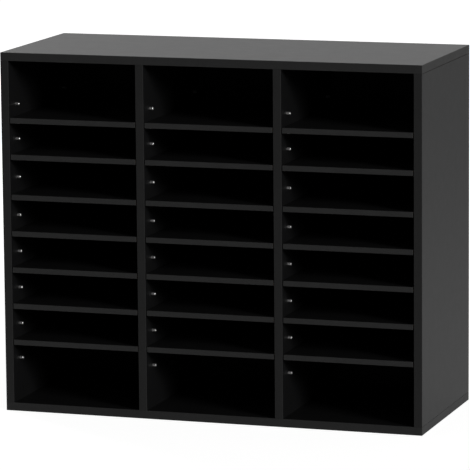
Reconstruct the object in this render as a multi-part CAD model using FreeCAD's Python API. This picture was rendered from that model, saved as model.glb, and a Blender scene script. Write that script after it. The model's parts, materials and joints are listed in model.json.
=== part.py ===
import FreeCAD, Part
import os

# A book organizer: a black flat-pack cabinet with three bays and seven loose shelves in each bay.
# The frame: X to the right, Y to the back, Z up. The origin is the middle of the footprint, on the floor.
# The open front looks along -Y. All lengths are in millimetres.

# The carcase. The top and bottom panels cover the ends of the four uprights.
WIDTH = 730.0
DEPTH = 298.0
BOARD = 14.0
BAY_NAMES = ("left", "middle", "right")
UPRIGHT_NAMES = ("left_side_panel", "left_divider", "right_divider", "right_side_panel")

# The clear heights of the openings in a bay, from the lowest up.
BOTTOM_OPENING = 99.5
SLOT_OPENING = 52.9
WIDE_SLOT_OPENING = 59.0
TOP_OPENING = 96.0

# The loose shelves. They lie on pins, with a little room at both ends and behind.
SHELF_BOARD = 9.0
SHELF_END_GAP = 1.5
SHELF_REAR_GAP = 2.0
SHELF_REST_GAP = 0.3

# The strips glued on the edges that show. Their outer corners are rounded.
BAND = 1.0
BAND_ROUND_SHARE = 0.6

# The thin back panel and the groove that holds it on its four sides.
BACK_BOARD = 3.0
BACK_INSET = 8.0
GROOVE_DEPTH = 6.0
GROOVE_SIDE_PLAY = 0.2
GROOVE_END_PLAY = 0.5

# The steel pins: four under each shelf, and a spare set in each opening.
PIN_DIAMETER = 5.0
PIN_REACH = 6.5
PIN_CHAMFER = 0.8
PIN_HOLE_PLAY = 0.05
PIN_TIP_PLAY = 0.2
PIN_WEB = 1.6
PIN_FRONT_SETBACK = 32.0
PIN_REAR_SETBACK = 32.0

# The spare pins sit a little under the middle of a slot. The lowest and the highest row follow a shelf.
SPARE_DROP = 3.5
LOW_SPARE_DROP = 27.5
HIGH_SPARE_RISE = 20.0

# The cam bolts. They screw into the top or bottom panel and end in a ball inside the cam.
BOLT_THREAD_DIAMETER = 6.0
BOLT_THREAD_HEIGHT = 0.7
BOLT_THREAD_TURNS = 6
BOLT_SHANK_DIAMETER = 5.0
BOLT_NECK_DIAMETER = 3.8
BOLT_BALL_DIAMETER = 7.0
BOLT_COLLAR_LENGTH = 1.2
BOLT_CROSS_LENGTH = 3.6
BOLT_CROSS_WIDTH = 0.9
BOLT_CROSS_DEPTH = 1.5
BOLT_BORE_PLAY = 0.5
BOLT_PLAY = 0.1

# The cams. Each lies in a round pocket in an upright and grips the ball of its bolt.
CAM_DIAMETER = 15.0
CAM_DISTANCE = 24.0
CAM_PLAY = 0.1
CAM_FLOOR_PLAY = 0.2
CAM_SLOT_ANGLE = 150.0
CAM_CROSS_LENGTH = 8.0
CAM_CROSS_WIDTH = 1.6
CAM_CROSS_DEPTH = 1.4
CAM_FRONT_SETBACK = 50.0
CAM_REAR_SETBACK = 50.0

# The thin stick-on covers over the cams.
COVER_RIM = 1.5
COVER_THICKNESS = 0.4

# The beech dowels beside the cams.
DOWEL_DIAMETER = 6.0
DOWEL_LENGTH = 30.0
DOWEL_CHAMFER = 0.8
DOWEL_FLUTES = 8
DOWEL_FLUTE_WIDTH = 0.6
DOWEL_FLUTE_DEPTH = 0.3
DOWEL_PLAY = 0.05
DOWEL_END_PLAY = 0.5
DOWEL_OFFSET = 32.0

# What is left of the top or bottom panel over the end of a hole for a bolt or a dowel.
HOLE_SKIN = 4.5

# The nails that hold the back panel to the two dividers.
NAIL_DIAMETER = 1.4
NAIL_LENGTH = 18.0
NAIL_POINT = 1.8
NAIL_HEAD_DIAMETER = 3.4
NAIL_HEAD_THICKNESS = 0.6
NAIL_PLAY = 0.02
NAIL_TIP_PLAY = 0.3
NAIL_END_MARGIN = 40.0
NAILS_PER_DIVIDER = 5

# How far a cut runs past the face that it opens, and how near two places count as one.
OVERRUN = 1.0
SAME_PLACE = 0.001

# Places and sizes that follow from the ones above.
OPENINGS = [BOTTOM_OPENING] + [SLOT_OPENING] * 4 + [WIDE_SLOT_OPENING, SLOT_OPENING, TOP_OPENING]
HEIGHT = sum(OPENINGS) + (len(OPENINGS) - 1) * SHELF_BOARD + 2 * BOARD
BAY_WIDTH = (WIDTH - len(UPRIGHT_NAMES) * BOARD) / len(BAY_NAMES)
LEFT = -WIDTH / 2
RIGHT = WIDTH / 2
FRONT = -DEPTH / 2
REAR = DEPTH / 2
FLOOR = BOARD
ROOF = HEIGHT - BOARD
BAND_ROUND = BAND * BAND_ROUND_SHARE
BOARD_FRONT = FRONT + BAND
BACK_REAR = REAR - BACK_INSET
BACK_FRONT = BACK_REAR - BACK_BOARD
PIN_YS = (FRONT + PIN_FRONT_SETBACK, BACK_FRONT - PIN_REAR_SETBACK)
PIN_HOLE_DEPTH = (BOARD - PIN_WEB) / 2
PIN_FOOT = PIN_HOLE_DEPTH - PIN_TIP_PLAY
CAM_YS = (FRONT + CAM_FRONT_SETBACK, BACK_FRONT - CAM_REAR_SETBACK)
CAM_POCKET_DEPTH = (BOARD + BOLT_BALL_DIAMETER) / 2 + CAM_FLOOR_PLAY
CAM_HEIGHT = CAM_POCKET_DEPTH - CAM_PLAY
BOLT_BORE_DIAMETER = BOLT_BALL_DIAMETER + 2 * BOLT_BORE_PLAY
PANEL_HOLE_DEPTH = BOARD - HOLE_SKIN
DOWEL_YS = (CAM_YS[0] + DOWEL_OFFSET, CAM_YS[1] - DOWEL_OFFSET)
DOWEL_IN_PANEL = PANEL_HOLE_DEPTH - DOWEL_END_PLAY
DOWEL_IN_UPRIGHT = DOWEL_LENGTH - DOWEL_IN_PANEL

X_AXIS = FreeCAD.Vector(1, 0, 0)
Y_AXIS = FreeCAD.Vector(0, 1, 0)
Z_AXIS = FreeCAD.Vector(0, 0, 1)
CENTRE = FreeCAD.Vector(0, 0, 0)


class Upright:
    """A side panel or a divider. Number 0 is the left side panel."""

    def __init__(self, number):
        self.name = UPRIGHT_NAMES[number]
        self.left = LEFT + number * (BOARD + BAY_WIDTH)
        self.right = self.left + BOARD
        self.middle = self.left + BOARD / 2
        self.walls = []
        if number > 0:
            self.walls.append((self.left, X_AXIS))
        if number < len(BAY_NAMES):
            self.walls.append((self.right, -X_AXIS))
        self.is_divider = len(self.walls) == 2
        self.rear = BACK_FRONT if self.is_divider else REAR
        # The cams of a side panel open to its bay, and those of a divider to the outer bay beside it.
        self.cam_side = 1 if number % 2 == 0 else -1
        self.cam_face = self.right if self.cam_side > 0 else self.left


UPRIGHTS = [Upright(number) for number in range(len(UPRIGHT_NAMES))]
DIVIDERS = [upright for upright in UPRIGHTS if upright.is_divider]

# The two ends of every upright: its height, and the way from there into the panel that covers it.
UPRIGHT_ENDS = ((FLOOR, -1), (ROOF, 1))

# How a cam is turned from the way it is drawn: by the side that it opens to, and the way to its bolt.
CAM_TURNS = {
    (1, 1): (Z_AXIS, 0),
    (1, -1): (X_AXIS, 180),
    (-1, 1): (Z_AXIS, 180),
    (-1, -1): (Y_AXIS, 180),
}


def block(x0, x1, y0, y1, z0, z1):
    """A box between two corners."""
    return Part.makeBox(x1 - x0, y1 - y0, z1 - z0, FreeCAD.Vector(x0, y0, z0))


def rod(diameter, length, x, y, z, direction):
    """A round bar that starts at a point and runs along a direction."""
    return Part.makeCylinder(diameter / 2, length, FreeCAD.Vector(x, y, z), direction)


def turned(outline):
    """A round solid about the Z axis. The outline is a ring of (radius, height) corners."""
    corners = [FreeCAD.Vector(radius, 0, height) for radius, height in outline]
    wire = Part.makePolygon(corners + corners[:1])
    return Part.Face(wire).revolve(CENTRE, Z_AXIS, 360)


def placed(shape, x, y, z, axis=Z_AXIS, angle=0):
    """A copy of a shape, turned about an axis through the origin and then moved to a point."""
    copy = shape.copy()
    copy.Placement = FreeCAD.Placement(FreeCAD.Vector(x, y, z), FreeCAD.Rotation(axis, angle))
    return copy


def cross(length, width, low, high):
    """A plus-shaped bar along Z, for the recess that a screwdriver fits."""
    bar = block(-length / 2, length / 2, -width / 2, width / 2, low, high)
    return bar.fuse(placed(bar, 0, 0, 0, Z_AXIS, 90))


def rounded_front(strip):
    """A front strip with all the edges of its front face rounded."""
    return rounded(strip, "y", FRONT, 0)


def rounded(strip, axis, place, least):
    """A strip with the edges in one plane rounded, where they are longer than a given length."""
    edges = []
    for edge in strip.Edges:
        box = edge.BoundBox
        low, high = (box.XMin, box.XMax) if axis == "x" else (box.YMin, box.YMax)
        in_plane = abs(low - place) < SAME_PLACE and abs(high - place) < SAME_PLACE
        if in_plane and edge.Length > least:
            edges.append(edge)
    return strip.makeFillet(BAND_ROUND, edges)


def save(name, solids):
    """Writes one node, which holds one solid or a group of separate solids."""
    shape = solids[0] if len(solids) == 1 else Part.makeCompound(solids)
    shape.exportStep("parts/" + name + ".step")


def bay_walls(bay):
    """The X places of the left and right wall of a bay."""
    left = UPRIGHTS[bay].right
    return left, left + BAY_WIDTH


def shelf_undersides():
    """The height of the underside of each shelf in a bay, from the lowest up."""
    heights = []
    level = FLOOR
    for opening in OPENINGS[:-1]:
        level += opening
        heights.append(level)
        level += SHELF_BOARD
    return heights


def support_pin_heights():
    """The heights of the pins that carry the shelves."""
    return [underside - SHELF_REST_GAP - PIN_DIAMETER / 2 for underside in shelf_undersides()]


def spare_pin_heights():
    """The heights of the spare pins, one row in each opening."""
    undersides = shelf_undersides()
    heights = [undersides[0] - LOW_SPARE_DROP]
    for lower, upper in zip(undersides[:-1], undersides[1:]):
        heights.append((lower + SHELF_BOARD + upper) / 2 - SPARE_DROP)
    heights.append(undersides[-1] + SHELF_BOARD + HIGH_SPARE_RISE)
    return heights


def nail_heights():
    """The heights of the nails along a divider, evenly spaced."""
    low = FLOOR + NAIL_END_MARGIN
    step = (ROOF - NAIL_END_MARGIN - low) / (NAILS_PER_DIVIDER - 1)
    return [low + number * step for number in range(NAILS_PER_DIVIDER)]


def groove(x0, x1, z0, z1):
    """The space that a board loses to the back panel."""
    return block(x0, x1, BACK_FRONT - GROOVE_SIDE_PLAY, BACK_REAR + GROOVE_SIDE_PLAY, z0, z1)


def covering_panel(inner, outward):
    """The top or bottom panel. Its inner face is at the height inner and it grows the outward way."""
    outer = inner + outward * BOARD
    board = block(LEFT + BAND, RIGHT - BAND, BOARD_FRONT, REAR, min(inner, outer), max(inner, outer))
    groove_reach = RIGHT - BOARD + GROOVE_DEPTH
    groove_end = inner + outward * GROOVE_DEPTH
    cuts = [groove(-groove_reach, groove_reach, min(inner, groove_end), max(inner, groove_end))]
    for upright in UPRIGHTS:
        for y in CAM_YS:
            diameter = BOLT_THREAD_DIAMETER + 2 * BOLT_PLAY
            cuts.append(rod(diameter, PANEL_HOLE_DEPTH, upright.middle, y, inner, Z_AXIS * outward))
        for y in DOWEL_YS:
            diameter = DOWEL_DIAMETER + 2 * DOWEL_PLAY
            cuts.append(rod(diameter, PANEL_HOLE_DEPTH, upright.middle, y, inner, Z_AXIS * outward))
    return board.cut(cuts)


def covering_panel_edging(inner, outward):
    """The strips on the front and the two ends of the top or bottom panel."""
    outer = inner + outward * BOARD
    low, high = min(inner, outer), max(inner, outer)
    front = block(LEFT, RIGHT, FRONT, BOARD_FRONT, low, high)
    left = block(LEFT, LEFT + BAND, BOARD_FRONT, REAR, low, high)
    right = block(RIGHT - BAND, RIGHT, BOARD_FRONT, REAR, low, high)
    return [
        rounded_front(front),
        rounded(left, "x", LEFT, BOARD),
        rounded(right, "x", RIGHT, BOARD),
    ]


def upright_board(upright):
    """A side panel or a divider, bored for pins, cams, bolts, dowels and nails."""
    board = block(upright.left, upright.right, BOARD_FRONT, upright.rear, FLOOR, ROOF)
    return board.cut(pin_holes(upright) + fitting_holes(upright) + back_panel_cuts(upright))


def pin_holes(upright):
    """The holes for the shelf pins, in each face that looks into a bay."""
    cuts = []
    for x, inward in upright.walls:
        for z in support_pin_heights() + spare_pin_heights():
            for y in PIN_YS:
                cuts.append(rod(PIN_DIAMETER + 2 * PIN_HOLE_PLAY, PIN_HOLE_DEPTH, x, y, z, inward))
    return cuts


def fitting_holes(upright):
    """The cam pockets, and the bolt and dowel holes in the two ends."""
    cuts = []
    for end, outward in UPRIGHT_ENDS:
        for y in CAM_YS:
            z = end - outward * CAM_DISTANCE
            pocket_way = X_AXIS * -upright.cam_side
            cuts.append(rod(CAM_DIAMETER + 2 * CAM_PLAY, CAM_POCKET_DEPTH, upright.cam_face, y, z, pocket_way))
            cuts.append(rod(BOLT_BORE_DIAMETER, CAM_DISTANCE, upright.middle, y, end, Z_AXIS * -outward))
        for y in DOWEL_YS:
            depth = DOWEL_IN_UPRIGHT + DOWEL_END_PLAY
            cuts.append(rod(DOWEL_DIAMETER + 2 * DOWEL_PLAY, depth, upright.middle, y, end, Z_AXIS * -outward))
    return cuts


def back_panel_cuts(upright):
    """The groove of a side panel, or the nail holes of a divider."""
    if not upright.is_divider:
        face, inward = upright.walls[0]
        bottom = face + inward.x * GROOVE_DEPTH
        return [groove(min(face, bottom), max(face, bottom), FLOOR - OVERRUN, ROOF + OVERRUN)]
    cuts = []
    for z in nail_heights():
        depth = NAIL_LENGTH - BACK_BOARD + NAIL_TIP_PLAY
        cuts.append(rod(NAIL_DIAMETER + 2 * NAIL_PLAY, depth, upright.middle, BACK_FRONT, z, -Y_AXIS))
    return cuts


def upright_strip(upright):
    """The strip on the front edge of a side panel or a divider."""
    strip = block(upright.left, upright.right, FRONT, BOARD_FRONT, FLOOR, ROOF)
    return rounded(strip, "y", FRONT, BOARD)


def back_panel():
    """The thin panel in the grooves, with its nail holes."""
    reach = RIGHT - BOARD + GROOVE_DEPTH - GROOVE_END_PLAY
    low = FLOOR - GROOVE_DEPTH + GROOVE_END_PLAY
    high = ROOF + GROOVE_DEPTH - GROOVE_END_PLAY
    board = block(-reach, reach, BACK_FRONT, BACK_REAR, low, high)
    cuts = []
    for divider in DIVIDERS:
        for z in nail_heights():
            cuts.append(rod(NAIL_DIAMETER + 2 * NAIL_PLAY, BACK_BOARD, divider.middle, BACK_FRONT, z, Y_AXIS))
    return board.cut(cuts)


def shelf_pieces(bay, underside):
    """A loose shelf, level with the front of the carcase: its board and the strip on its front edge."""
    left_wall, right_wall = bay_walls(bay)
    left = left_wall + SHELF_END_GAP
    right = right_wall - SHELF_END_GAP
    top = underside + SHELF_BOARD
    board = block(left, right, BOARD_FRONT, BACK_FRONT - SHELF_REAR_GAP, underside, top)
    strip = block(left, right, FRONT, BOARD_FRONT, underside, top)
    return board, rounded_front(strip)


def pin():
    """A plain steel pin along Z with bevelled ends. The face of the wall is at height 0."""
    radius = PIN_DIAMETER / 2
    return turned([
        (0, -PIN_FOOT),
        (radius - PIN_CHAMFER, -PIN_FOOT),
        (radius, PIN_CHAMFER - PIN_FOOT),
        (radius, PIN_REACH - PIN_CHAMFER),
        (radius - PIN_CHAMFER, PIN_REACH),
        (0, PIN_REACH),
    ])


def pins(heights):
    """The pins at the given heights in all the bays: front and rear, on both walls."""
    shape = pin()
    solids = []
    for bay in range(len(BAY_NAMES)):
        left_wall, right_wall = bay_walls(bay)
        for z in heights:
            for y in PIN_YS:
                solids.append(placed(shape, left_wall, y, z, Y_AXIS, 90))
                solids.append(placed(shape, right_wall, y, z, Y_AXIS, -90))
    return solids


def cam_bolt():
    """A cam bolt along Z. Its thread is above height 0, in the covering panel, and its ball is below."""
    thread = BOLT_THREAD_DIAMETER / 2
    root = thread - BOLT_THREAD_HEIGHT
    length = PANEL_HOLE_DEPTH - BOLT_PLAY
    pitch = length / BOLT_THREAD_TURNS
    neck = BOLT_NECK_DIAMETER / 2
    neck_start = CAM_DISTANCE - CAM_DIAMETER / 2 - CAM_PLAY
    shank = BOLT_SHANK_DIAMETER / 2
    collar = BOLT_BORE_DIAMETER / 2 - BOLT_PLAY
    outline = [
        (0, -CAM_DISTANCE),
        (neck, -CAM_DISTANCE),
        (neck, -neck_start),
        (shank, -neck_start),
        (shank, -BOLT_COLLAR_LENGTH),
        (collar, -BOLT_COLLAR_LENGTH),
        (collar, 0),
        (root, 0),
    ]
    for turn in range(BOLT_THREAD_TURNS):
        outline.append((thread, (turn + 1 / 2) * pitch))
        outline.append((root, (turn + 1) * pitch))
    outline.append((0, length))
    ball = Part.makeSphere(BOLT_BALL_DIAMETER / 2, FreeCAD.Vector(0, 0, -CAM_DISTANCE))
    ball_end = -CAM_DISTANCE - BOLT_BALL_DIAMETER / 2
    recess = cross(BOLT_CROSS_LENGTH, BOLT_CROSS_WIDTH, ball_end - OVERRUN, ball_end + BOLT_CROSS_DEPTH)
    return turned(outline).fuse(ball).cut(recess)


def cam():
    """A locked cam along X. Its face is at place 0 and looks along +X, and its bolt comes from +Z."""
    bolt_level = -BOARD / 2
    hollow = BOLT_BALL_DIAMETER + 2 * BOLT_PLAY
    slot_width = BOLT_NECK_DIAMETER + 2 * BOLT_PLAY
    body = rod(CAM_DIAMETER, CAM_HEIGHT, -CAM_HEIGHT, 0, 0, X_AXIS)
    cavity_start = -CAM_HEIGHT - OVERRUN
    cavity = rod(hollow, bolt_level + hollow / 2 - cavity_start, cavity_start, 0, 0, X_AXIS)
    neck_way = block(bolt_level - slot_width / 2, bolt_level + slot_width / 2,
                     -slot_width / 2, slot_width / 2, 0, CAM_DIAMETER)
    slot_start = FreeCAD.Vector(bolt_level - slot_width / 2, 0, 0)
    slot = Part.makeCylinder(CAM_DIAMETER, slot_width, slot_start, X_AXIS, CAM_SLOT_ANGLE)
    mouth = rod(BOLT_BALL_DIAMETER + BOLT_PLAY, CAM_DIAMETER, bolt_level, 0, 0, Z_AXIS)
    mouth.rotate(CENTRE, X_AXIS, CAM_SLOT_ANGLE)
    recess = cross(CAM_CROSS_LENGTH, CAM_CROSS_WIDTH, -CAM_CROSS_DEPTH, OVERRUN)
    recess.rotate(CENTRE, Y_AXIS, 90)
    return body.cut([cavity, neck_way, slot, mouth, recess])


def cam_cover(upright, y, z):
    """A thin round cover, stuck on the board over a cam."""
    diameter = CAM_DIAMETER + 2 * CAM_PLAY + 2 * COVER_RIM
    return rod(diameter, COVER_THICKNESS, upright.cam_face, y, z, X_AXIS * upright.cam_side)


def dowel():
    """A fluted dowel along Z. Height 0 is where the upright meets the panel above it."""
    radius = DOWEL_DIAMETER / 2
    low = -DOWEL_IN_UPRIGHT
    high = DOWEL_IN_PANEL
    body = turned([
        (0, low),
        (radius - DOWEL_CHAMFER, low),
        (radius, low + DOWEL_CHAMFER),
        (radius, high - DOWEL_CHAMFER),
        (radius - DOWEL_CHAMFER, high),
        (0, high),
    ])
    flutes = []
    for number in range(DOWEL_FLUTES):
        flute = block(radius - DOWEL_FLUTE_DEPTH, radius + OVERRUN,
                      -DOWEL_FLUTE_WIDTH / 2, DOWEL_FLUTE_WIDTH / 2, low - OVERRUN, high + OVERRUN)
        flute.rotate(CENTRE, Z_AXIS, number * 360 / DOWEL_FLUTES)
        flutes.append(flute)
    return body.cut(flutes)


def fittings():
    """All the cams, bolts, covers and dowels, two of each at both ends of every upright."""
    cam_shape = cam()
    bolt_shape = cam_bolt()
    dowel_shape = dowel()
    cams, bolts, covers, dowels = [], [], [], []
    for upright in UPRIGHTS:
        for end, outward in UPRIGHT_ENDS:
            half_turn = 0 if outward > 0 else 180
            for y in CAM_YS:
                z = end - outward * CAM_DISTANCE
                cam_turn = CAM_TURNS[upright.cam_side, outward]
                cams.append(placed(cam_shape, upright.cam_face, y, z, *cam_turn))
                bolts.append(placed(bolt_shape, upright.middle, y, end, X_AXIS, half_turn))
                covers.append(cam_cover(upright, y, z))
            for y in DOWEL_YS:
                dowels.append(placed(dowel_shape, upright.middle, y, end, X_AXIS, half_turn))
    return cams, bolts, covers, dowels


def nail():
    """A nail along Z. Its head is below height 0, and its point is at the other end."""
    radius = NAIL_DIAMETER / 2
    head = NAIL_HEAD_DIAMETER / 2
    return turned([
        (0, -NAIL_HEAD_THICKNESS),
        (head, -NAIL_HEAD_THICKNESS),
        (head, 0),
        (radius, 0),
        (radius, NAIL_LENGTH - NAIL_POINT),
        (0, NAIL_LENGTH),
    ])


def nails():
    """The nails through the back panel into the dividers. Their points look to the front."""
    shape = nail()
    return [placed(shape, divider.middle, BACK_REAR, z, X_AXIS, 90)
            for divider in DIVIDERS for z in nail_heights()]


os.makedirs("parts", exist_ok=True)

for panel_name, (inner_face, outward_way) in zip(("bottom_panel", "top_panel"), UPRIGHT_ENDS):
    save(panel_name, [covering_panel(inner_face, outward_way)])
    save(panel_name + "_edging", covering_panel_edging(inner_face, outward_way))

for standing in UPRIGHTS:
    save(standing.name, [upright_board(standing)])
save("upright_edging", [upright_strip(standing) for standing in UPRIGHTS])

save("back_panel", [back_panel()])
save("back_panel_nails", nails())

for bay_number, bay_name in enumerate(BAY_NAMES):
    for shelf_number, shelf_underside in enumerate(shelf_undersides()):
        shelf_name = bay_name + "_bay_shelf_" + str(shelf_number + 1)
        shelf_board, shelf_strip = shelf_pieces(bay_number, shelf_underside)
        save(shelf_name, [shelf_board])
        save(shelf_name + "_edging", [shelf_strip])

save("shelf_support_pins", pins(support_pin_heights()))
save("spare_pins", pins(spare_pin_heights()))

all_cams, all_bolts, all_covers, all_dowels = fittings()
save("cam_locks", all_cams)
save("cam_bolts", all_bolts)
save("cam_covers", all_covers)
save("dowels", all_dowels)
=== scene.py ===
import json
import math

import bpy
from mathutils import Matrix, Vector


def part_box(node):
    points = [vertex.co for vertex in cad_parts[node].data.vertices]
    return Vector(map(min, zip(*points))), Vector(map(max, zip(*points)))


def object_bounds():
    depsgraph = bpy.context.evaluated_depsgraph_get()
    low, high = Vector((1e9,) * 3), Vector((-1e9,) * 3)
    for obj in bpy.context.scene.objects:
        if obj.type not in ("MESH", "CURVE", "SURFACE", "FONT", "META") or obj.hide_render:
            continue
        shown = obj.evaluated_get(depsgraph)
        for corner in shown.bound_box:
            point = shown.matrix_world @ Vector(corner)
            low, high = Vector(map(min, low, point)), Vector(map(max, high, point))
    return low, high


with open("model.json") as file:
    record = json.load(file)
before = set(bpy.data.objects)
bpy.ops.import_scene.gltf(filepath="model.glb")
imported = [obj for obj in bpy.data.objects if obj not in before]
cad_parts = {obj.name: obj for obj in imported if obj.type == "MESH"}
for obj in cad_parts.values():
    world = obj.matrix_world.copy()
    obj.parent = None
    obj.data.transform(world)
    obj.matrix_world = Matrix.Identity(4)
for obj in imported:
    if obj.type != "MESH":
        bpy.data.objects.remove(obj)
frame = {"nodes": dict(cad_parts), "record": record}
cad_low, cad_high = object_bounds()

# The scene is in metres: X to the right, Y to the back, Z up. The cabinet's open front looks along -Y.
X, Y, Z = 0, 1, 2
MILLIMETRE = 0.001
FRONT = cad_low.y
HEIGHT = cad_high.z - cad_low.z

# The camera of the photograph. It looks at a point of the front plane, from the right and a little above.
# With no rotation it would look straight down, and the level turn raises it to the horizon. The angles here
# and below are in degrees.
AIM = Vector((0.0455, FRONT, 0.3191))
CAMERA_DISTANCE = 6.2444
LEVEL_TURN = 90.0
CAMERA_TURN = 18.349
CAMERA_FALL = 9.456
CAMERA_ROLL = -0.485
LENS_MILLIMETRES = 290.24
SENSOR_MILLIMETRES = 36.0

# The soft lamp, to the right of the open front and above it. A lamp's level is how bright it makes white
# paper that faces it.
KEY_TURN = 61.5
KEY_RISE = 18.2
KEY_DISTANCE = 20.0
KEY_SIZE = 5.0
KEY_LEVEL = 0.55

# The second lamp, behind the cabinet and to its left. It lights the back and the left side, and the top a
# little: most at its left end.
FILL_TURN = 232.0
FILL_RISE = 25.0
FILL_DISTANCE = 4.0
FILL_SIZE = 1.5
FILL_LEVEL = 0.29

# How bright the surroundings are. The backdrop is white, and the room before the cabinet is dimmer.
# The shares say where a change starts and ends, along the Y or the Z of a direction that is 1 long.
WHITE = 1.0
ROOM_LEVEL = 0.005
CEILING_LEVEL = 0.13
BACKDROP_START_SHARE = -0.2
BACKDROP_FULL_SHARE = 0.7
CEILING_START_SHARE = 0.05
CEILING_FULL_SHARE = 0.55

# The floor. Its glow is what the camera sees, and the mirrored levels are what gloss sees, near and far.
FLOOR_SIZE = 60.0
FLOOR_NEAR = 0.8
FLOOR_FAR = 4.0
FLOOR_GREY = 0.5
FLOOR_GLOW = 0.86
FLOOR_MIRRORED_NEAR = 0.40
FLOOR_MIRRORED_FAR = 0.155

# Most of a noise's values lie between these two.
NOISE_LOW = 0.3
NOISE_HIGH = 0.7

# The mix node's sockets for colours. They can't be picked by name, because those for numbers have the same.
FIRST_COLOUR = 6
SECOND_COLOUR = 7
MIXED_COLOUR = 2


def direction(turn, rise):
    """The way to a place seen from the cabinet: turned from -Y towards +X, and raised above the floor."""
    a, e = math.radians(turn), math.radians(rise)
    return Vector((math.sin(a) * math.cos(e), -math.cos(a) * math.cos(e), math.sin(e)))


class Nodes:
    """Short calls that add nodes to a node tree and link them."""

    def __init__(self, tree):
        self.tree = tree
        tree.nodes.clear()

    def add(self, kind, inputs=None, **settings):
        """A new node with its settings, and with plain values or outputs of other nodes on its inputs."""
        node = self.tree.nodes.new(kind)
        for key, value in settings.items():
            setattr(node, key, value)
        for key, value in (inputs or {}).items():
            self.put(node.inputs[key], value)
        return node

    def put(self, socket, value):
        """Sets a socket to a plain value, or links an output to it."""
        if isinstance(value, bpy.types.NodeSocket):
            self.tree.links.new(value, socket)
        else:
            socket.default_value = value

    def maths(self, operation, *values, clamp=False):
        """One operation on up to three values."""
        node = self.add("ShaderNodeMath", operation=operation, use_clamp=clamp)
        for socket, value in zip(node.inputs, values):
            self.put(socket, value)
        return node.outputs[0]

    def scaled(self, vector, shares):
        """A vector with its X, Y and Z each times its own share."""
        node = self.add("ShaderNodeVectorMath", {0: vector, 1: shares}, operation="MULTIPLY")
        return node.outputs["Vector"]

    def length(self, vector):
        node = self.add("ShaderNodeVectorMath", {0: vector}, operation="LENGTH")
        return node.outputs["Value"]

    def parts(self, vector):
        """The X, Y and Z of a vector."""
        return self.add("ShaderNodeSeparateXYZ", {"Vector": vector}).outputs

    def span(self, value, low, high, start, end, smooth=False):
        """A value between low and high, mapped to the range from start to end."""
        node = self.add("ShaderNodeMapRange", {"Value": value, "From Min": low, "From Max": high,
                                               "To Min": start, "To Max": end})
        node.interpolation_type = "SMOOTHSTEP" if smooth else "LINEAR"
        return node.outputs["Result"]

    def vary(self, noise, middle, swing):
        """A value that a noise moves up and down about its middle."""
        return self.span(noise, NOISE_LOW, NOISE_HIGH, middle - swing, middle + swing)

    def blend(self, share, first, second):
        """A colour between two colours."""
        node = self.add("ShaderNodeMix", {"Factor": share, FIRST_COLOUR: first, SECOND_COLOUR: second},
                        data_type="RGBA")
        return node.outputs[MIXED_COLOUR]

    def colour(self, red, green, blue):
        """A colour from three values."""
        node = self.add("ShaderNodeCombineColor", {"Red": red, "Green": green, "Blue": blue})
        return node.outputs["Color"]

    def noise(self, where, scale, detail, roughness=0.5):
        """Soft noise from 0 to 1. The scale is in spots per metre."""
        node = self.add("ShaderNodeTexNoise", {"Vector": where, "Scale": scale, "Detail": detail,
                                               "Roughness": roughness})
        return node.outputs["Fac"]

    def bump(self, height, depth, normal=None):
        """The normal of a surface whose height goes from 0 to 1 over a depth in metres."""
        node = self.add("ShaderNodeBump", {"Height": height, "Distance": depth, "Strength": 1.0})
        if normal is not None:
            self.put(node.inputs["Normal"], normal)
        return node.outputs["Normal"]

    def from_end(self, share):
        """How far a share from 0 to 1 is from the nearer end."""
        return self.maths("MINIMUM", share, self.maths("SUBTRACT", 1.0, share))


def grey(level, warmth=0.0):
    """A grey colour. Warmth moves it a little towards red."""
    return (level * (1 + warmth), level, level * (1 - warmth), 1.0)


def principled(name, inputs):
    """A new material with one plain shader. Returns it with its nodes and the shader."""
    material = bpy.data.materials.new(name)
    material.use_nodes = True
    nodes = Nodes(material.node_tree)
    shader = nodes.add("ShaderNodeBsdfPrincipled", inputs)
    output = nodes.add("ShaderNodeOutputMaterial")
    nodes.put(output.inputs["Surface"], shader.outputs[0])
    return material, nodes, shader


# The board: black melamine on both faces, and pressed chips where an edge is bare. A surface is a face where
# its normal is along the board's thin way by more than the cosine. Here and below, a noise is written as its
# spots per metre and its detail.
MELAMINE_GREY = 0.0063
MELAMINE_BLUE_SHARE = 1.04
MELAMINE_ROUGHNESS = 0.48
MELAMINE_IOR = 1.33
MELAMINE_CLOUDS = (14.0, 3.0)
MELAMINE_CLOUD_SHARE = 0.05
MELAMINE_SMEARS = (55.0, 4.0)
MELAMINE_SMEAR = 0.01
FACE_COSINE = 0.7
PEBBLE = (900.0, 1.5)
PEBBLE_DEPTH = 0.012 * MILLIMETRE
# The width of the painted shade along an upright's joints with the panels over and under it.
JOINT_SHADE_WIDTH = 0.55 * MILLIMETRE
SKIN = 0.25 * MILLIMETRE
CHIPS_PER_METRE = 420.0
CHIP_DEPTH = 0.4 * MILLIMETRE
CHIP_ROUGHNESS = 0.85
CHIP_DARK = (0.045, 0.029, 0.018, 1.0)
CHIP_LIGHT = (0.170, 0.112, 0.070, 1.0)


def melamine_face(nodes, place, axis, size):
    """The colour and roughness of a board's face. An upright's face has a thin line of painted shade at both
    ends, where it meets the panels over and under it: black and fully rough, standing in for the shadow in
    the joint."""
    where = place.outputs["Object"]
    clouds = nodes.noise(where, *MELAMINE_CLOUDS)
    smears = nodes.noise(where, *MELAMINE_SMEARS)
    level = nodes.vary(clouds, MELAMINE_GREY, MELAMINE_GREY * MELAMINE_CLOUD_SHARE)
    colour = nodes.colour(level, level, nodes.maths("MULTIPLY", level, MELAMINE_BLUE_SHARE))
    roughness = nodes.vary(smears, MELAMINE_ROUGHNESS, MELAMINE_SMEAR)
    if axis == X:
        up = nodes.parts(place.outputs["Generated"])[Z]
        # Painted shade: in a thin line at each joint the face turns black and fully rough, for the shadow in
        # the gap.
        in_painted_joint_shade = nodes.maths("LESS_THAN", nodes.from_end(up), JOINT_SHADE_WIDTH / size[Z])
        colour = nodes.blend(in_painted_joint_shade, colour, grey(0.0))
        roughness = nodes.maths("MAXIMUM", roughness, in_painted_joint_shade)
    return colour, roughness


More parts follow.
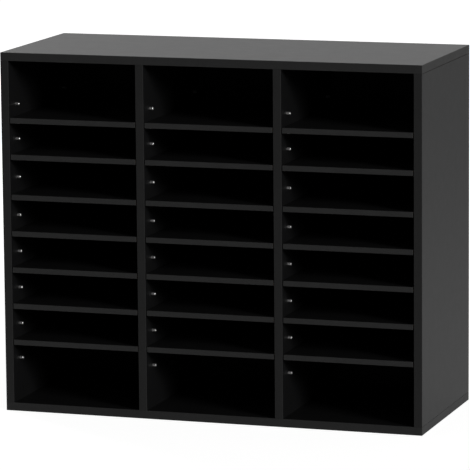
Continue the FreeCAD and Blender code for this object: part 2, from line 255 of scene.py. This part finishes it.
def bare_edge(nodes, place, axis, size):
    """The colour of a board's bare edge, chips between two black skins, and the height of the chips."""
    chips = nodes.add("ShaderNodeTexVoronoi", {"Vector": place.outputs["Object"], "Scale": CHIPS_PER_METRE})
    # Each chip has a colour of its own, at random, and its red serves as the chip's shade.
    chip_shade = nodes.parts(chips.outputs["Color"])[X]
    across = nodes.parts(place.outputs["Generated"])[axis]
    is_core = nodes.maths("GREATER_THAN", nodes.from_end(across), SKIN / size[axis])
    colour = nodes.blend(is_core, grey(MELAMINE_GREY), nodes.blend(chip_shade, CHIP_DARK, CHIP_LIGHT))
    return colour, chips.outputs["Distance"]


def board_material(name, axis, size):
    """Melamine-faced board of a given size that lies square to an axis."""
    material, nodes, shader = principled(name, {"IOR": MELAMINE_IOR})
    place = nodes.add("ShaderNodeTexCoord")
    square = nodes.maths("ABSOLUTE", nodes.parts(place.outputs["Normal"])[axis])
    is_face = nodes.maths("GREATER_THAN", square, FACE_COSINE)
    face_colour, face_roughness = melamine_face(nodes, place, axis, size)
    edge_colour, chip_height = bare_edge(nodes, place, axis, size)

    smoother = nodes.maths("SUBTRACT", face_roughness, CHIP_ROUGHNESS)
    roughness = nodes.maths("MULTIPLY_ADD", is_face, smoother, CHIP_ROUGHNESS)
    edge_height = nodes.maths("MULTIPLY", chip_height, nodes.maths("SUBTRACT", 1.0, is_face))
    pitted = nodes.bump(edge_height, CHIP_DEPTH)
    pebble = nodes.noise(place.outputs["Object"], *PEBBLE)
    nodes.put(shader.inputs["Base Color"], nodes.blend(is_face, edge_colour, face_colour))
    nodes.put(shader.inputs["Roughness"], roughness)
    nodes.put(shader.inputs["Normal"], nodes.bump(pebble, PEBBLE_DEPTH, pitted))
    return material


# The black plastic edge strips. Those on the ends of a panel face sideways, and get a darker grey than those
# on
# the front: painted shade. The cosines say how far sideways a strip faces where that painted shade starts,
# and where it is full.
PANEL_STRIP_GREY = 0.0308
UPRIGHT_STRIP_GREY = 0.0224
SHELF_STRIP_GREY = 0.0350
END_STRIP_PAINTED_SHADE_SHARE = 0.70
PAINTED_SHADE_COSINE_LOW = 0.3
PAINTED_SHADE_COSINE_HIGH = 0.8
STRIP_ROUGHNESS = 0.52
STRIP_IOR = 1.27
STRIP_CLOUDS = (40.0, 3.0)
STRIP_CLOUD_SHARE = 0.06
STRIP_SMEAR = 0.03
STRIP_GRAIN = (700.0, 2.0)
STRIP_GRAIN_DEPTH = 0.01 * MILLIMETRE


def strip_material(name, strip_grey, sideways_painted_shade_share=1.0):
    """Black plastic edge strip. One on the end of a panel faces sideways and can be painted a share as light
    as one on the front, as painted shade.
    """
    material, nodes, shader = principled(name, {"IOR": STRIP_IOR})
    place = nodes.add("ShaderNodeTexCoord")
    where = place.outputs["Object"]
    clouds = nodes.noise(where, *STRIP_CLOUDS)
    grain = nodes.noise(where, *STRIP_GRAIN)
    sideways = nodes.maths("ABSOLUTE", nodes.parts(place.outputs["Normal"])[X])
    # Painted shade: a strip that faces sideways gets a darker grey than one that faces the front.
    shade = nodes.span(sideways, PAINTED_SHADE_COSINE_LOW, PAINTED_SHADE_COSINE_HIGH, strip_grey, strip_grey * sideways_painted_shade_share)
    level = nodes.maths("MULTIPLY", shade, nodes.vary(clouds, 1.0, STRIP_CLOUD_SHARE))
    nodes.put(shader.inputs["Base Color"], nodes.colour(level, level, level))
    nodes.put(shader.inputs["Roughness"], nodes.vary(clouds, STRIP_ROUGHNESS, STRIP_SMEAR))
    nodes.put(shader.inputs["Normal"], nodes.bump(grain, STRIP_GRAIN_DEPTH))
    return material


FOIL_DARK_SHARE = 0.9
FOIL_LIGHT_SHARE = 1.1


def foil_material():
    """The stick-on covers over the cams: foil with the grey, the gloss and the pebble of the melamine."""
    look = {"IOR": MELAMINE_IOR, "Roughness": MELAMINE_ROUGHNESS}
    material, nodes, shader = principled("cover_foil", look)
    pebble = nodes.noise(nodes.add("ShaderNodeTexCoord").outputs["Object"], *PEBBLE)
    dark = grey(MELAMINE_GREY * FOIL_DARK_SHARE)
    light = grey(MELAMINE_GREY * FOIL_LIGHT_SHARE)
    nodes.put(shader.inputs["Base Color"], nodes.blend(pebble, dark, light))
    nodes.put(shader.inputs["Normal"], nodes.bump(pebble, PEBBLE_DEPTH))
    return material


# The thin back. A surface is its rear where its normal is along +Y by more than the cosine.
LACQUER_GREY = 0.006
LACQUER_ROUGHNESS = 0.7
LACQUER_IOR = 1.3
REAR_COSINE = 0.5
HARDBOARD_ROUGHNESS = 0.85
FIBRES = (260.0, 5.0, 0.7)
FIBRE_DARK = (0.032, 0.020, 0.013, 1.0)
FIBRE_LIGHT = (0.105, 0.066, 0.042, 1.0)
SCREEN_PITCH = 1.6 * MILLIMETRE
SCREEN_DEPTH = 0.05 * MILLIMETRE


def hardboard_material():
    """The thin back: black lacquer inside, bare dark hardboard with a screen pattern behind."""
    material, nodes, shader = principled("back_board", {"IOR": LACQUER_IOR})
    place = nodes.add("ShaderNodeTexCoord")
    where = place.outputs["Object"]
    is_rear = nodes.maths("GREATER_THAN", nodes.parts(place.outputs["Normal"])[Y], REAR_COSINE)
    fibres = nodes.noise(where, *FIBRES)
    bare = nodes.blend(fibres, FIBRE_DARK, FIBRE_LIGHT)
    roughness = nodes.span(is_rear, 0.0, 1.0, LACQUER_ROUGHNESS, HARDBOARD_ROUGHNESS)

    wave = 2 * math.pi / SCREEN_PITCH
    across = nodes.maths("SINE", nodes.maths("MULTIPLY", nodes.parts(where)[X], wave))
    up = nodes.maths("SINE", nodes.maths("MULTIPLY", nodes.parts(where)[Z], wave))
    screen = nodes.maths("MULTIPLY", nodes.maths("MULTIPLY", across, up), is_rear)
    nodes.put(shader.inputs["Base Color"], nodes.blend(is_rear, grey(LACQUER_GREY), bare))
    nodes.put(shader.inputs["Roughness"], roughness)
    nodes.put(shader.inputs["Normal"], nodes.bump(nodes.maths("ADD", screen, fibres), SCREEN_DEPTH))
    return material


METALS = {
    "pin_steel": {"level": 0.92, "warmth": 0.01, "roughness": 0.35, "grain_per_metre": 3000.0,
                  "metallic": 0.88},
    "cam_zinc": {"level": 0.5, "warmth": 0.0, "roughness": 0.5, "grain_per_metre": 1800.0},
    "bolt_steel": {"level": 0.62, "warmth": 0.02, "roughness": 0.3, "grain_per_metre": 2500.0},
    "nail_steel": {"level": 0.55, "warmth": 0.0, "roughness": 0.35, "grain_per_metre": 2500.0},
}
METAL_DARK_SHARE = 0.9
METAL_LIGHT_SHARE = 1.05
METAL_GLOSS_SHARE = 0.2
GRAIN_DETAIL = 3.0
GRAIN_DEPTH = 0.01 * MILLIMETRE


def metal_material(name, level, warmth, roughness, grain_per_metre, metallic=1.0):
    """Plain metal with a fine grain in its gloss."""
    material, nodes, shader = principled(name, {"Metallic": metallic})
    where = nodes.add("ShaderNodeTexCoord").outputs["Object"]
    grain = nodes.noise(where, grain_per_metre, GRAIN_DETAIL)
    dark = grey(level * METAL_DARK_SHARE, warmth)
    light = grey(level * METAL_LIGHT_SHARE, warmth)
    nodes.put(shader.inputs["Base Color"], nodes.blend(grain, dark, light))
    nodes.put(shader.inputs["Roughness"], nodes.vary(grain, roughness, roughness * METAL_GLOSS_SHARE))
    nodes.put(shader.inputs["Normal"], nodes.bump(grain, GRAIN_DEPTH))
    return material


BEECH_ROUGHNESS = 0.7
BEECH_DARK = (0.38, 0.21, 0.10, 1.0)
BEECH_LIGHT = (0.60, 0.38, 0.20, 1.0)
FLECKS = (2200.0, 3.0)
FLECK_SHARES = (1.0, 1.0, 0.08)
FLECK_DEPTH = 0.03 * MILLIMETRE


def beech_material():
    """Raw beech, with short flecks along the dowel."""
    material, nodes, shader = principled("dowel_beech", {"Roughness": BEECH_ROUGHNESS})
    where = nodes.add("ShaderNodeTexCoord").outputs["Object"]
    flecks = nodes.noise(nodes.scaled(where, FLECK_SHARES), *FLECKS)
    nodes.put(shader.inputs["Base Color"], nodes.blend(flecks, BEECH_DARK, BEECH_LIGHT))
    nodes.put(shader.inputs["Normal"], nodes.bump(flecks, FLECK_DEPTH))
    return material


def dress(node_name, material):
    """Gives a CAD node its material."""
    mesh = frame["nodes"][node_name].data
    mesh.materials.clear()
    mesh.materials.append(material)


def board_way(node_name):
    """The axis that a board is thinnest along, and its size along X, Y and Z."""
    low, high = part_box(node_name)
    size = list(high - low)
    return size.index(min(size)), size


def dress_nodes():
    """Every CAD node gets the material of its slot in the record. Boards of a slot that lie the same way
    share one material, and each kind of edge strip has its own."""
    strips = {
        "shelf": strip_material("shelf_strip", SHELF_STRIP_GREY),
        "upright": strip_material("upright_strip", UPRIGHT_STRIP_GREY),
        "panel": strip_material("panel_strip", PANEL_STRIP_GREY, END_STRIP_PAINTED_SHADE_SHARE),
    }
    plain = {name: metal_material(name, **look) for name, look in METALS.items()}
    plain["back_board"] = hardboard_material()
    plain["cover_foil"] = foil_material()
    plain["dowel_beech"] = beech_material()
    boards = {}
    for part in frame["record"]["subparts"]:
        node_name, slot_name = part["node"], part["material_slot"]
        if slot_name == "edge_strip":
            dress(node_name, next(strips[kind] for kind in strips if kind in node_name))
            continue
        if slot_name in plain:
            dress(node_name, plain[slot_name])
            continue
        axis, size = board_way(node_name)
        key = (slot_name, axis)
        if key not in boards:
            boards[key] = board_material(slot_name + "_" + "xyz"[axis], axis, size)
        dress(node_name, boards[key])


def light_path(nodes):
    """Shares for the rays from the camera, and for those that come by way of gloss or glass."""
    path = nodes.add("ShaderNodeLightPath")
    glossy, through = path.outputs["Is Glossy Ray"], path.outputs["Is Transmission Ray"]
    mirrored = nodes.maths("ADD", glossy, through, clamp=True)
    return path.outputs["Is Camera Ray"], mirrored


def make_world():
    """White all round for the camera. Gloss sees white behind the cabinet and a dimmer room before it, which
    is lighter towards its ceiling."""
    world = bpy.data.worlds.new("room")
    bpy.context.scene.world = world
    world.use_nodes = True
    nodes = Nodes(world.node_tree)
    seen, mirrored = light_path(nodes)
    way = nodes.parts(nodes.add("ShaderNodeTexCoord").outputs["Generated"])
    behind = nodes.span(way[Y], BACKDROP_START_SHARE, BACKDROP_FULL_SHARE, 0.0, 1.0, smooth=True)
    share = nodes.maths("MULTIPLY_ADD", mirrored, behind, seen, clamp=True)
    room = nodes.span(way[Z], CEILING_START_SHARE, CEILING_FULL_SHARE, ROOM_LEVEL,
                      ROOM_LEVEL + CEILING_LEVEL, smooth=True)
    level = nodes.maths("MULTIPLY_ADD", share, nodes.maths("SUBTRACT", WHITE, room), room)
    light = nodes.add("ShaderNodeBackground", {"Color": grey(WHITE), "Strength": level})
    output = nodes.add("ShaderNodeOutputWorld")
    nodes.put(output.inputs["Surface"], light.outputs[0])


def floor_material():
    """A pale floor that looks white and keeps the cabinet's soft shadow."""
    material = bpy.data.materials.new("floor")
    material.use_nodes = True
    nodes = Nodes(material.node_tree)
    seen, mirrored = light_path(nodes)
    away = nodes.length(nodes.add("ShaderNodeTexCoord").outputs["Object"])
    glow = nodes.span(away, FLOOR_NEAR, FLOOR_FAR, FLOOR_GLOW, WHITE, smooth=True)
    reflected = nodes.span(away, FLOOR_NEAR, FLOOR_FAR, FLOOR_MIRRORED_NEAR, FLOOR_MIRRORED_FAR, smooth=True)
    strength = nodes.maths("MULTIPLY_ADD", mirrored, reflected, nodes.maths("MULTIPLY", seen, glow))
    paper = nodes.add("ShaderNodeBsdfDiffuse", {"Color": grey(FLOOR_GREY)})
    shine = nodes.add("ShaderNodeEmission", {"Color": grey(WHITE), "Strength": strength})
    both = nodes.add("ShaderNodeAddShader", {0: paper.outputs[0], 1: shine.outputs[0]})
    output = nodes.add("ShaderNodeOutputMaterial")
    nodes.put(output.inputs["Surface"], both.outputs[0])
    return material


def make_floor():
    """One large square under the cabinet."""
    half = FLOOR_SIZE / 2
    corners = [(-half, -half, 0), (half, -half, 0), (half, half, 0), (-half, half, 0)]
    mesh = bpy.data.meshes.new("floor")
    mesh.from_pydata(corners, [], [(0, 1, 2, 3)])
    mesh.materials.append(floor_material())
    floor = bpy.data.objects.new("floor", mesh)
    floor.location.z = cad_low.z
    bpy.context.scene.collection.objects.link(floor)


def make_lamp(name, turn, rise, distance, size, level):
    """A large soft square lamp that looks at the cabinet and that the camera doesn't see."""
    light = bpy.data.lights.new(name, "AREA")
    light.size = size
    light.energy = level * math.pi ** 2 * distance ** 2
    lamp = bpy.data.objects.new(name, light)
    middle = Vector((0, 0, HEIGHT / 2))
    way = direction(turn, rise)
    lamp.location = middle + way * distance
    lamp.rotation_mode = "QUATERNION"
    lamp.rotation_quaternion = way.to_track_quat("Z", "Y")
    lamp.visible_camera = False
    bpy.context.scene.collection.objects.link(lamp)


def make_camera():
    """The photograph's camera, at the place and angle that the cabinet's corners give."""
    lens = bpy.data.cameras.new("camera")
    lens.lens = LENS_MILLIMETRES
    lens.sensor_width = SENSOR_MILLIMETRES
    camera = bpy.data.objects.new("camera", lens)
    turn = Matrix.Rotation(math.radians(CAMERA_TURN), 4, "Z")
    fall = Matrix.Rotation(math.radians(LEVEL_TURN - CAMERA_FALL), 4, "X")
    roll = Matrix.Rotation(math.radians(CAMERA_ROLL), 4, "Z")
    facing = turn @ fall @ roll
    back = facing.to_3x3() @ Vector((0, 0, 1))
    camera.matrix_world = Matrix.Translation(AIM + back * CAMERA_DISTANCE) @ facing
    bpy.context.scene.collection.objects.link(camera)
    bpy.context.scene.camera = camera


bpy.context.scene.view_settings.view_transform = "Standard"
dress_nodes()
make_world()
make_floor()
make_lamp("key", KEY_TURN, KEY_RISE, KEY_DISTANCE, KEY_SIZE, KEY_LEVEL)
make_lamp("fill", FILL_TURN, FILL_RISE, FILL_DISTANCE, FILL_SIZE, FILL_LEVEL)
make_camera()
